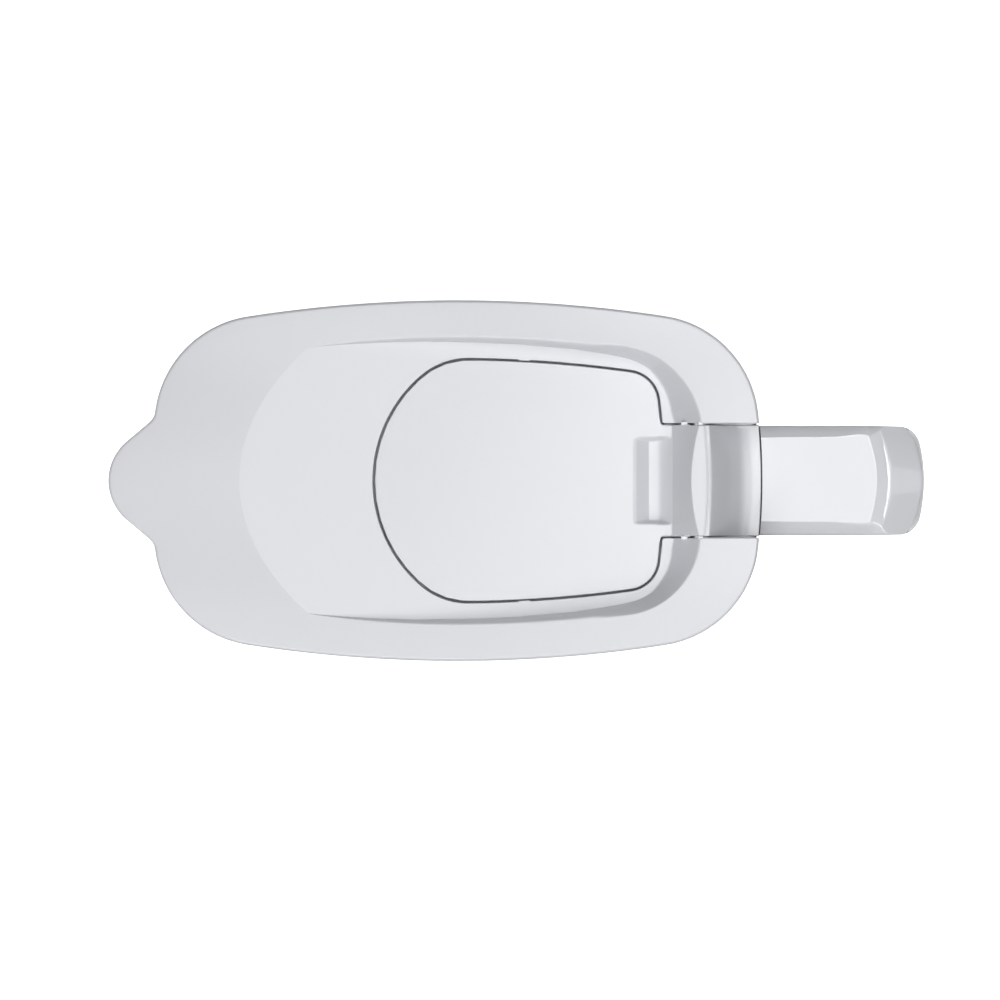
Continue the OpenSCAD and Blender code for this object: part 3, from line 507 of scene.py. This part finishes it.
# ================================================================= handle
LEVEL = 248.4                           # flat top of the handle
OUT = [(81.5, LEVEL + 1.5), (96, LEVEL + 1.6), (109.5, LEVEL + 1.6), (118, LEVEL + 1.5), (123, LEVEL + 0.2), (127.5, LEVEL - 1.5),
       (131.6, LEVEL - 3.1), (133.6, LEVEL - 4.5), (134.7, LEVEL - 6.8), (134.95, LEVEL - 10.5), (134.8, LEVEL - 20.5)]
OUT += [(134.0, 199), (131.4, 174), (126.5, 142), (119.7, 109), (111, 79), (100.5, 56), (88.5, 41), (74.6, 33)]
INN = [(81.5, 203), (85.8, 208), (90.5, 212.6), (95.6, 217.1), (100.3, 220.6), (104.6, 223.1),
       (108.4, 224.6), (110.9, 224.8), (113.2, 223.9), (115.3, 221.4), (117.0, 215.6),
       (117.4, 196), (114.8, 171), (110, 141), (103.6, 111.5), (96.2, 87.6), (89.4, 75), (82.4, 68.4), (76, 66)]
WID = [18.1, 18.1, 18.1, 18.1, 18.05, 17.95, 17.85, 17.8, 17.75, 17.7, 17.5, 16.9, 15.8, 14.9, 14.5, 14.5, 14.9, 15.4, 16]
END_S = np.linspace(90, 140, 1001)      # flat back, two end facets with a gleaming crease between them
END_T = np.interp(END_S, [90, 118.95, 119.25, 122.55, 122.85, 124.15, 124.4, 140], np.tan(np.radians([0, 0.6, 12.0, 12.3, 16.1, 16.4, 22.0, 22.5])))
END_U = np.interp(END_S, [90, 118.95, 119.25, 123.3, 124.1, 140], np.tan(np.radians([0, 0.6, 12.0, 12.3, 22.0, 22.5])))
END_H, END_K = (LEVEL - np.concatenate([[0.0], np.cumsum((T[:-1] + T[1:])*0.025)]) for T in (END_T, END_U))
def spline(P, n):
    """Parameter along the points, spaced by the square root of each chord length, and the points as rows."""
    P = np.array(P, float); P = P.reshape(len(P), -1)
    t = np.concatenate([[0], np.cumsum(np.sqrt(np.linalg.norm(np.diff(P, axis=0), axis=1)) + 1e-9)]) if P.shape[1] > 1 else None
    return t, P
def cubic(t, P, q):
    n = len(t); h = np.diff(t); A = np.zeros((n, n)); B = np.zeros((n, P.shape[1])); A[0, 0] = A[-1, -1] = 1
    for i in range(1, n - 1):
        A[i, i-1] = h[i-1]; A[i, i] = 2*(h[i-1] + h[i]); A[i, i+1] = h[i]
        B[i] = 6*((P[i+1] - P[i])/h[i] - (P[i] - P[i-1])/h[i-1])
    M = np.linalg.solve(A, B); k = np.clip(np.searchsorted(t, q, side="right") - 1, 0, n - 2)
    a = (t[k+1] - q)[:, None]; b = (q - t[k])[:, None]; hh = h[k][:, None]
    return M[k]*a**3/(6*hh) + M[k+1]*b**3/(6*hh) + (P[k]/hh - M[k]*hh/6)*a + (P[k+1]/hh - M[k+1]*hh/6)*b
def bow():
    A = np.column_stack([np.array(OUT), np.array(INN), np.array(WID)])
    t = np.concatenate([[0], np.cumsum(np.linalg.norm(np.diff(A[:, :2], axis=0), axis=1))])
    q = np.unique(np.concatenate([np.linspace(0, t[3], 90), np.linspace(t[3], t[10], 190), np.linspace(t[10], t[12], 50), np.linspace(t[12], t[-1], 150)]))
    return cubic(t, A, q), q/t[-1]
GRIP_T = 4.5
def handle_mesh(kind):
    B, q = bow(); rows = []
    for (ox, oz, ix, iz, w), u in zip(B, q):
        o = np.array([ox, oz]); i = np.array([ix, iz]); L = np.linalg.norm(i - o); d = (i - o)/L
        if kind == "cover":
            # slightly crowned back, two flat facets on each side and a tight round into the flanks
            half = []
            for inset in (4.85, 3.95):
                y0, y1, r = w - inset, w - inset*0.5, 1.0
                f0, f1 = (0.93, 1.22) if inset > 4.5 else (0.66, 0.88)
                hy = np.concatenate([np.linspace(0, y0 - 0.5, 18), y0 + np.array([-0.25, -0.1, -0.03, 0.04, 0.12, 0.3]), np.linspace(y0 + 0.6, y1 - 0.2, 4),
                                     y1 + np.array([-0.06, 0.06, 0.25]), np.linspace(y1 + 0.5, w - r, 4), w - r + r*np.sin(np.radians([12, 25, 38, 50, 62, 73, 82, 90]))])
                sc = 1.5*(hy/14.0)**2; k0 = 1.5*(y0/14.0)**2; k1 = k0 + (y1 - y0)*f0
                hs = np.where(hy < y0, sc, np.where(hy < y1, k0 + (hy - y0)*f0, k1 + (hy - y1)*f1))
                hs = hs + r - np.sqrt(np.maximum(0, r*r - np.maximum(0, hy - (w - r))**2))
                top = oz > 200; ke = float(ease(np.array([(ox - 128.5)/6.0 if oz > LEVEL - 8 else 1.0]))[0]); rc = 2.2 + 3.4*ke
                box = rc - np.sqrt(np.maximum(0, rc*rc - np.maximum(0, hy - (w - rc))**2)) + 0.012*hy*hy*ke
                low = 9.5*(1 - np.maximum(0, 1 - (hy/w)**2.7)**(1/2.7)); kl = float(ease(np.array([(LEVEL - 14 - oz)/40.0]))[0])
                soft = box*(1 - kl) + low*kl; k = float(ease(np.array([(ox - 118)/9.5 if top else 1.0]))[0])
                hs = hs*(1 - k) + soft*k
                half.append((hy, hs))
            y = np.concatenate([-half[0][0][:0:-1], half[1][0]]); s = np.concatenate([half[0][1][:0:-1], half[1][1]])
            a0, a1 = s[0], s[-1]
            side = np.array([0.3, 0.6, 0.9])
            s_end = L - GRIP_T
            sl0, sl = a0 + (s_end - 0.25 - a0)*side, a1 + (s_end - 0.25 - a1)*side
            ys = np.concatenate([[-(w - 0.9), -(w - 0.25), -w], [-w]*3, y, [w]*3, [w, w - 0.25, w - 0.9]])
            ss = np.concatenate([[s_end, s_end, s_end - 0.25], sl0[::-1], s, sl, [s_end - 0.25, s_end, s_end]])
        else:
            s0, s1 = L - GRIP_T + 0.05, L; w2 = w - 0.15
            t = np.linspace(-1, 1, 61); y = np.sign(t)*(1 - (1 - np.abs(t))**1.3)*w2
            cr = 4.2*(1 - np.maximum(0, 1 - np.abs(y/w2)**3.4)**(1/3.4))
            ys = np.concatenate([[-(w2 - 1.0), -(w2 - 0.2), -w2], y, [w2, w2 - 0.2, w2 - 1.0]])
            ss = np.concatenate([[s0, s0, s0 + 0.2], s1 - cr, [s0 + 0.2, s0, s0]])
        p = o[None, :] + ss[:, None]*d[None, :]
        rows.append(np.stack([p[:, 0], ys, p[:, 1]], axis=-1))
    G = np.array(rows)
    if kind == "cover":
        x, y, z = G[..., 0], G[..., 1], G[..., 2]
        u = x + 0.0122*y*y; side = ease((np.abs(y) - 11.6)/1.2)
        flat = np.interp(u, END_S, END_H)*(1 - side) + np.interp(u, END_S, END_K)*side
        cut = smin(z, flat, 0.10 + 0.5*ease((x - 127)/4)); G[..., 2] = np.where((z > LEVEL - 11) & (x < 134), cut, z)
    # the near end follows the lid's end above the parting line and sits on the jug wall below it
    x, y, z = G[..., 0].copy(), G[..., 1], G[..., 2]
    wall = 0.6 + 9.0*np.power(np.clip(1 - z/RIM_Z, 0, 1), 1.3); above = ease((z - RIM_Z + 1.4)/1.2)
    xe = E_[0] + np.sqrt((204 + 0.30*above - (wall - 0.02)*(1 - above))**2 - y**2)
    k0 = np.clip(1 - (x - 81.5)/6.0, 0, 1)*ease((z - 160)/30)
    k1 = np.clip(1 - (x - (74.6 + (z - 33)*1.4/33))/8.0, 0, 1)*(z < 120)
    G[..., 0] += (xe - 81.5)*k0 + (xe - (74.6 + (z - 33)*1.4/33))*k1
    v, f = sheet(G, wrap_cols=True); m, n = G.shape[:2]
    f.append(tuple(reversed(range(n)))); f.append(tuple(range((m - 1)*n, m*n)))
    return v, f
hc = build("handle_shell", [handle_mesh("cover")], sharp=50)
dress(hc, M_HANDLE, "jug", "white_gloss", "handle_cover")
hg = build("handle_grip_strip", [handle_mesh("grip")], sharp=50)
dress(hg, M_GRIP, "jug", "grip", "handle_grip")

# ================================================================= clear jug
FOOT, FR, WALL = 2.0, 12.0, 2.6
def drawn(z): return 0.6 + 9.0*np.power(1 - min(z, RIM_Z)/RIM_Z, 1.3)
def rnd(z, z0, r): return 0.0 if z - z0 >= r else r - math.sqrt(max(0, r*r - (r - (z - z0))**2))
def jug_mesh():
    half = np.concatenate([np.radians(np.arange(0, 150, 1.25)), np.radians(np.arange(150, 180, 0.5))])
    th = np.concatenate([half, [np.pi], 2*np.pi - half[:0:-1]])
    q = np.degrees(np.abs((th + np.pi) % (2*np.pi) - np.pi)); lip = ease((16 - np.abs(180 - q))/9)
    sk = lambda z: float(ease(np.array([(z - RIM_Z + 76)/72]))[0])
    rows = []
    def add(z, d, k, dp=0.0, d1=None):
        dd = d if d1 is None else d1*(1 - lip) + d*lip
        r = outline(th, dd, k, O); rows.append(np.stack([O[0] + r*np.cos(th), O[1] + r*np.sin(th), z - dp*lip + 0*r], axis=-1))
    zs = [FOOT, 2.15, 2.6, 3.4, 4.6, 6.2, 8.2, 10.6, 13, 16] + list(np.linspace(22, 220, 46))
    for z in zs: add(z, drawn(z) + rnd(z, FOOT, FR), sk(z))
    for z, dp in ((224, 2.0), (227, 3.8), (229.5, 5.4), (231.0, 6.5)): add(z, drawn(z), 1, dp)
    for t in np.radians([0, 22, 45, 67, 90]): add(RIM_Z - 0.5*(1 - math.sin(t)), 0.6 + 0.5*(1 - math.cos(t)), 1, 7)
    for t in np.radians([90, 67, 45, 22, 0]): add(RIM_Z - 0.5*(1 - math.sin(t)), 0.6 + WALL - 0.5*(1 - math.cos(t)), 1, 7)
    add(229.5, 0.6 + WALL, 1, 5.2); add(227.3, 0.6 + WALL, 1, 4.2)
    add(227.0, 0.9 + WALL, 1, 4.2, 1.1 + WALL); add(227.0, 0.6 + WALL, 1, 4.2, 2.5 + WALL); add(226.8, 0.6 + WALL, 1, 4.1, 2.8 + WALL)
    add(225.8, 0.6 + WALL, 1, 3.6, 2.8 + WALL); add(225.0, 0.6 + WALL, 1, 3.2, 2.3 + WALL); add(222.5, drawn(222.5) + WALL, 1, 1.6)
    z0 = FOOT + 3.4
    zi = list(np.linspace(220, 22, 46)) + [17, 14, 11.5, 9.4, 7.8, 6.6, 5.8, z0]
    for z in zi: add(z, drawn(z) + WALL + rnd(z, z0, FR - 2), sk(z))
    G = np.array(rows); v, f = sheet(G, wrap_cols=True); m, n = G.shape[:2]
    # closed ends: rings shrink to the middle so the caps stay smooth
    out = [(v, f)]
    for base in (G[0], G[-1]):
        cx = base.mean(axis=0); R = np.array([cx + (base - cx)*k for k in (1.0, 0.985, 0.9, 0.7, 0.45, 0.2)])
        vv, ff = sheet(R, wrap_cols=True); ff.append(tuple(range(5*n, 6*n))); out.append((vv, ff))
    return out
jug = build("clear_jug", jug_mesh())
dress(jug, M_CLEAR, "jug", "clear_shell", "jug_body")

# ================================================================= funnel
def funnel_plan(th, d):
    c = -np.cos(th); f = np.where(c > 0.2, (81 - d + 6.5)/np.maximum(c, 0.2), 999)
    return smin(OVAL.r(th, d, O), f, 10)
def funnel_mesh():
    n = 288; th = np.linspace(0, 2*np.pi, n, endpoint=False); rows = []
    def add(z, d):
        r = funnel_plan(th, d); rows.append(np.stack([O[0] + r*np.cos(th), O[1] + r*np.sin(th), z + 0*r], axis=-1))
    def ringc(r, z): rows.append(np.stack([-10 + r*np.cos(th), r*np.sin(th), z + 0*th], axis=-1))
    fz, fl = RIM_Z - 109.2, RIM_Z - 4.8
    add(fz - 2.2, 24.6); add(fz - 1.9, 22.6); add(fz - 1.1, 20.6); add(fz + 0.1, 18.9); add(fz + 1.8, 17.4); add(fz + 4.2, 16.0); add(fz + 8, 14.9); add(fz + 14, 14)
    for u in np.linspace(0.08, 1, 14): add(fz + 14 + (fl - 12 - fz - 14)*u, 14 - 6.6*u**0.9)
    add(fl - 5, 7.1); add(fl - 0.8, 7.0); add(fl - 0.2, 6.8); add(fl, 6.2); add(fl, 4.3); add(fl + 0.1, 4.08); add(fl + 0.35, 4.0); add(fl + 1.6, 4.0); add(fl + 1.9, 4.1); add(fl + 2, 4.4)
    add(fl + 2, 8.0); add(fl + 1.8, 8.7); add(fl + 1.0, 9.2); add(fl - 5, 9.4)
    for u in np.linspace(1, 0.08, 14): add(fz + 14 + (fl - 12 - fz - 14)*u, 16.2 - 6.6*u**0.9)
    add(fz + 14, 16.2); add(fz + 9, 17.0); add(fz + 5, 18.3); add(fz + 2.6, 19.9); add(fz + 1.0, 21.8); add(fz + 0.25, 23.6); add(fz, 25.0)
    ringc(33.7, fz); ringc(32.4, fz); ringc(31.9, fz - 0.15); ringc(31.6, fz - 0.6); ringc(31.6, fz - 12); ringc(31.6, fz - 24); ringc(31.6, fz - 31.6); ringc(31.8, fz - 31.9); ringc(32.2, fz - 32)
    ringc(33.4, fz - 32); ringc(33.8, fz - 31.8); ringc(34.0, fz - 31.3); ringc(34.0, fz - 20); ringc(34.0, fz - 5); ringc(34.0, fz - 2.9); ringc(34.3, fz - 2.4)
    # last ring meets the first
    return [sheet(np.array(rows), wrap_rows=True, wrap_cols=True)]
fun = build("funnel_shell", funnel_mesh())
dress(fun, M_FROST, "funnel", "frosted", "funnel")

# ================================================================= CAD pieces that keep their own shape
def paint(node, mat):
    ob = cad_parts[node]
    if not ob.data.materials: ob.data.materials.append(mat)
    for k in range(len(ob.data.materials)): ob.data.materials[k] = mat
    for sl in ob.material_slots: sl.material = mat
paint("base_ring", M_RUBBER); paint("lid_skirt", M_SATIN); paint("flap_liner", M_SATIN); paint("flap_pivot_pins", M_PIN)
for n_ in ("cartridge_body", "cartridge_outlet", "cartridge_cap", "cartridge_pull_loop"): paint(n_, M_CART)
for n_ in ("cartridge_bottom_mesh", "cartridge_middle_mesh", "cartridge_top_mesh"): paint(n_, M_FLEECE)
paint("cartridge_seal", M_SEAL); paint("resin_bed", M_RESIN); paint("carbon_bed", M_CARBON)

# ================================================================= stage, light, camera
def floor_piece():
    bpy.ops.mesh.primitive_plane_add(size=8.0, location=(0, 0, 0))
    f = bpy.context.object; f.name = "floor"
    m, nt, b = nodes_of("pale_floor")
    co = nt.nodes.new("ShaderNodeTexCoord").outputs["Object"]
    nt.links.new(ramp(nt, noise(nt, 3, 3, 0.5, co), [(0.3, (0.93, 0.93, 0.935)), (0.7, (0.945, 0.945, 0.95))]), b.inputs["Base Color"])
    b.inputs["Roughness"].default_value = 0.9; b.inputs["Specular IOR Level"].default_value = 0.1
    b.inputs["Emission Color"].default_value = (1, 1, 1, 1); b.inputs["Emission Strength"].default_value = 0.9
    f.data.materials.append(m); f.visible_glossy = False; return f
floor = floor_piece()
bpy.ops.mesh.primitive_plane_add(size=1.0, location=(0.76, 0, 0.0004))
card = bpy.context.object; card.name = "soft_card"; card.scale = (1.19, 2.0, 1.0)
bpy.ops.object.transform_apply(location=False, rotation=False, scale=True)
cm = bpy.data.materials.new("soft_card"); cm.use_nodes = True; nt = cm.node_tree; nt.nodes.clear()
ce = nt.nodes.new("ShaderNodeEmission"); ce.inputs[0].default_value = (0.98, 0.98, 1.0, 1); ce.inputs[1].default_value = 0.8
nt.links.new(ce.outputs[0], nt.nodes.new("ShaderNodeOutputMaterial").inputs[0])
card.data.materials.append(cm); card.visible_camera = False; card.visible_diffuse = False

world = bpy.data.worlds.new("studio"); bpy.context.scene.world = world; world.use_nodes = True
wn = world.node_tree; wn.nodes.clear()
wo = wn.nodes.new("ShaderNodeOutputWorld"); bg = wn.nodes.new("ShaderNodeBackground")
bg.inputs[0].default_value = (1.0, 1.0, 1.0, 1); bg.inputs[1].default_value = 0.0
wn.links.new(bg.outputs[0], wo.inputs[0])

def area(name, loc, target, size, power, size_y=None, color=(1, 1, 1)):
    l = bpy.data.lights.new(name, "AREA"); l.energy = power; l.color = color; l.size = size
    if size_y: l.shape = "RECTANGLE"; l.size_y = size_y
    o = bpy.data.objects.new(name, l); bpy.context.scene.collection.objects.link(o); o.location = loc
    o.rotation_euler = (Vector(target) - Vector(loc)).to_track_quat("-Z", "Y").to_euler(); return o
# a dome of overlapping soft discs: tilt from straight up, direction round, watts
DOME = [(0, 0, 2.0), (14, 0, 3.4), (14, 60, 4.9), (14, 180, 1.9), (14, 240, 1.1), (14, 300, 3.7), (28, 90, 7.1), (28, 135, 3.4),
        (28, 180, 1.7), (28, 225, 0.9), (28, 270, 2.6), (28, 315, 3.5), (42, 0, 1.0), (42, 144, 0.8), (42, 180, 0.5), (42, 216, 2.5),
        (42, 252, 7.5), (42, 288, 1.7), (42, 324, 3.1), (56, 0, 0.7), (56, 210, 2.2), (56, 240, 7.1), (56, 270, 1.1), (56, 300, 1.8),
        (72, 72, 3.6), (72, 288, 1.9)]
AIM, REACH = Vector((0.0, 0.0, 0.25)), 2.2
def dome_light(k, tilt, turn, watts, size=0.54):
    a, b = math.radians(tilt), math.radians(turn)
    d = Vector((math.sin(a)*math.cos(b), math.sin(a)*math.sin(b), math.cos(a)))
    o = area("dome_%02d" % k, AIM + d*REACH, AIM, size, watts); o.data.shape = "DISK"; return o
for k, (tilt, turn, watts) in enumerate(DOME): dome_light(k, tilt, turn, watts)
# narrow strip that only shows as a gleam on the handle's shoulder
sa = math.radians(32.5)
strip = area("strip", (0.123 + 0.9*math.sin(sa), 0.0, 0.245 + 0.9*math.cos(sa)), (0.123, 0, 0.245), 0.9, 0.9, 0.03)
strip.visible_diffuse = False

cam = bpy.data.cameras.new("above"); co_ = bpy.data.objects.new("above", cam); bpy.context.scene.collection.objects.link(co_)
cam.type = "PERSP"; cam.sensor_width = 36.0; cam.lens = 36.0*(8.0 - 0.255)/0.330
cam.clip_end = 40.0
co_.location = (-0.0053, -0.0064, 8.0); co_.rotation_euler = (0, 0, 0)
bpy.context.scene.camera = co_
bpy.context.scene.view_settings.view_transform = "Standard"
